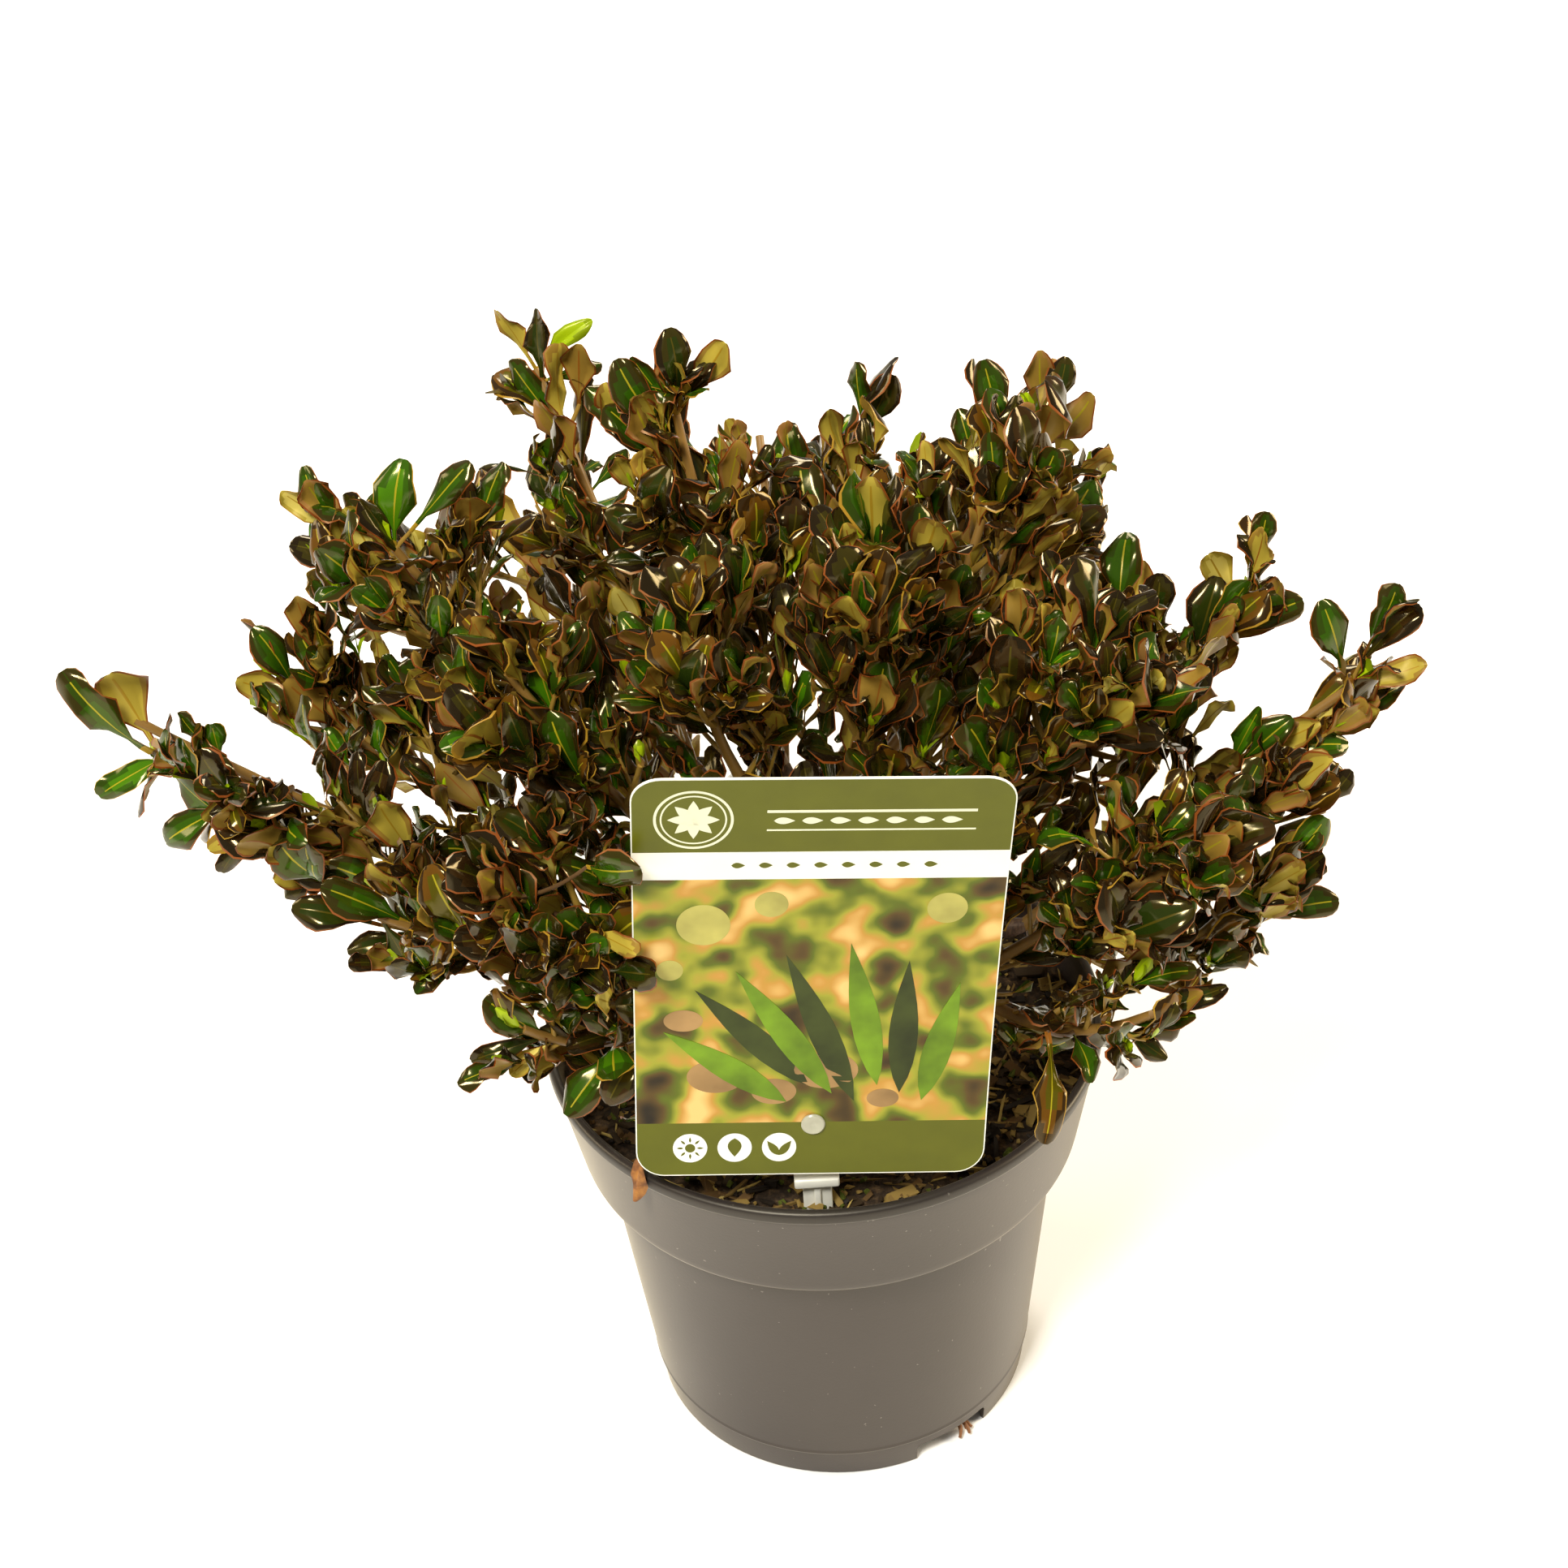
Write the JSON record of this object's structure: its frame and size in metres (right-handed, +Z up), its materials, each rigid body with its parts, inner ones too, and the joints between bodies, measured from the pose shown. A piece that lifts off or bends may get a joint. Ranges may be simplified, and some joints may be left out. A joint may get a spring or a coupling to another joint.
{
  "type": "potted mirror bush",
  "caption": "Low spreading evergreen shrub with glossy wavy dark leaves, in a round stepped nursery pot filled with soil, with a printed card on a clear stake at the rim.",
  "frame": {"origin": "centre of the pot's flat underside, on the surface that it stands on", "axes": "+Z up; the card at the rim faces -Y, the usual viewing side; +X to the right as seen from there"},
  "size_m": [0.4176, 0.2941, 0.3758],
  "materials": {
    "pot": "warm grey moulded plastic, semi-matt, lighter where seen at a low angle",
    "soil": "damp peat with bark chips and straw",
    "bark": "thin brown bark, olive and bronze on young stems",
    "foliage": "glossy leaves, green along the midrib, chocolate brown towards the edge, olive khaki below",
    "label_card": "printed card with a soft gloss",
    "clear_plastic": "cloudy clear plastic"
  },
  "bodies": {
    "root": {"bough_back_left": "bark", "bough_back_low": "bark", "bough_back_right": "bark", "bough_centre": "bark", "bough_centre_back": "bark", "bough_left_back": "bark", "bough_left_front": "bark", "bough_left_inner": "bark", "bough_left_low": "bark", "bough_right_back": "bark", "bough_right_front": "bark", "bough_right_inner": "bark", "bough_right_low": "bark", "foliage_back_centre": "foliage", "foliage_back_left": "foliage", "foliage_back_low_left": "foliage", "foliage_back_low_right": "foliage", "foliage_back_right": "foliage", "foliage_centre_left": "foliage", "foliage_centre_right": "foliage", "foliage_left_bottom": "foliage", "foliage_left_far": "foliage", "foliage_left_front": "foliage", "foliage_left_high": "foliage", "foliage_left_inner": "foliage", "foliage_left_low": "foliage", "foliage_left_mid": "foliage", "foliage_left_up": "foliage", "foliage_right_bottom": "foliage", "foliage_right_far": "foliage", "foliage_right_front": "foliage", "foliage_right_high": "foliage", "foliage_right_inner": "foliage", "foliage_right_low": "foliage", "foliage_right_up": "foliage", "foliage_top_centre": "foliage", "foliage_top_left": "foliage", "foliage_top_mid": "foliage", "foliage_top_right": "foliage", "label_card": "label_card", "label_rivet": "clear_plastic", "label_stake": "clear_plastic", "pot": "pot", "soil": "soil", "trunk": "bark"}
  },
  "joints": []
}
